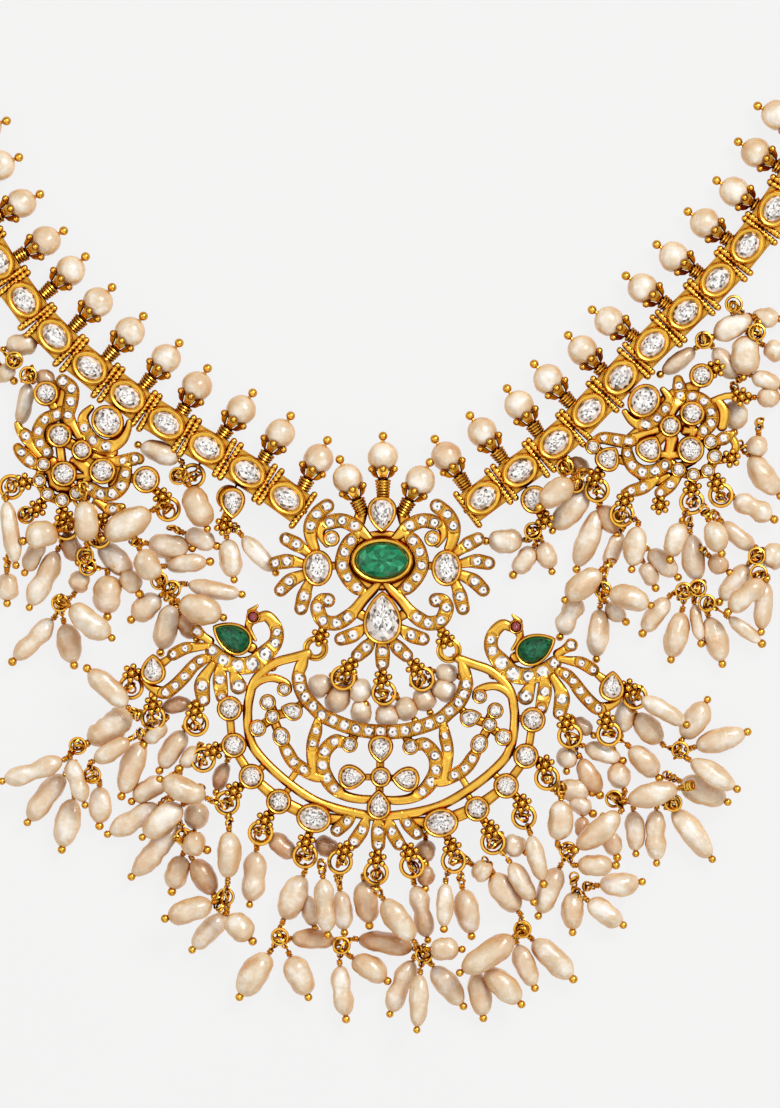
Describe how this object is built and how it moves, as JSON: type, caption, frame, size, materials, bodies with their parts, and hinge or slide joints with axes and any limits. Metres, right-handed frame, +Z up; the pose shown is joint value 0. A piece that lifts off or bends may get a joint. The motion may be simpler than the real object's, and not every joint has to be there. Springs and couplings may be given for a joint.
{
  "type": "temple necklace",
  "caption": "Gold temple necklace laid flat: a band of stone-set links on a fine chain, a peacock crescent pendant, side clusters and fringes of rice pearls.",
  "frame": {"origin": "on the table under the middle of the green oval stone, on the flat back of its closed box", "axes": "+Z up off the table, +Y from the pendant up to the clasp, +X to the right seen from above"},
  "size_m": [0.1272, 0.2105, 0.0086],
  "materials": {
    "gold": "antique gold plate, polished edges, dark recesses",
    "clear_stone": "faceted",
    "green_stone": "faceted",
    "red_stone": "faceted",
    "pearl": "cream nacre"
  },
  "bodies": {
    "root": {"centre_motif": "gold", "crescent_frame": "gold", "left_side_motif": "gold", "right_side_motif": "gold", "left_band_links": "gold", "right_band_links": "gold", "left_band_stones": "clear_stone", "right_band_stones": "clear_stone", "left_spike_pearls": "pearl", "right_spike_pearls": "pearl", "crown_pearls": "pearl", "emerald_oval": "green_stone", "crown_pear_stone": "clear_stone", "left_oval_stone": "clear_stone", "right_oval_stone": "clear_stone", "drop_pear_stone": "clear_stone", "left_peacock_emerald": "green_stone", "right_peacock_emerald": "green_stone", "left_peacock_eye": "red_stone", "right_peacock_eye": "red_stone", "left_tail_stone": "clear_stone", "right_tail_stone": "clear_stone", "scroll_stones": "clear_stone", "rim_stones": "clear_stone", "left_side_stones": "clear_stone", "right_side_stones": "clear_stone", "left_drop": "gold", "right_drop": "gold", "drop_stones": "clear_stone", "linking_rings": "gold", "crescent_left_pearls": "pearl", "crescent_left_wires": "gold", "crescent_base_pearls": "pearl", "crescent_base_wires": "gold", "crescent_right_pearls": "pearl", "crescent_right_wires": "gold", "left_side_pearls": "pearl", "left_side_wires": "gold", "right_side_pearls": "pearl", "right_side_wires": "gold", "left_chain": "gold", "right_chain": "gold", "clasp": "gold"}
  },
  "joints": []
}
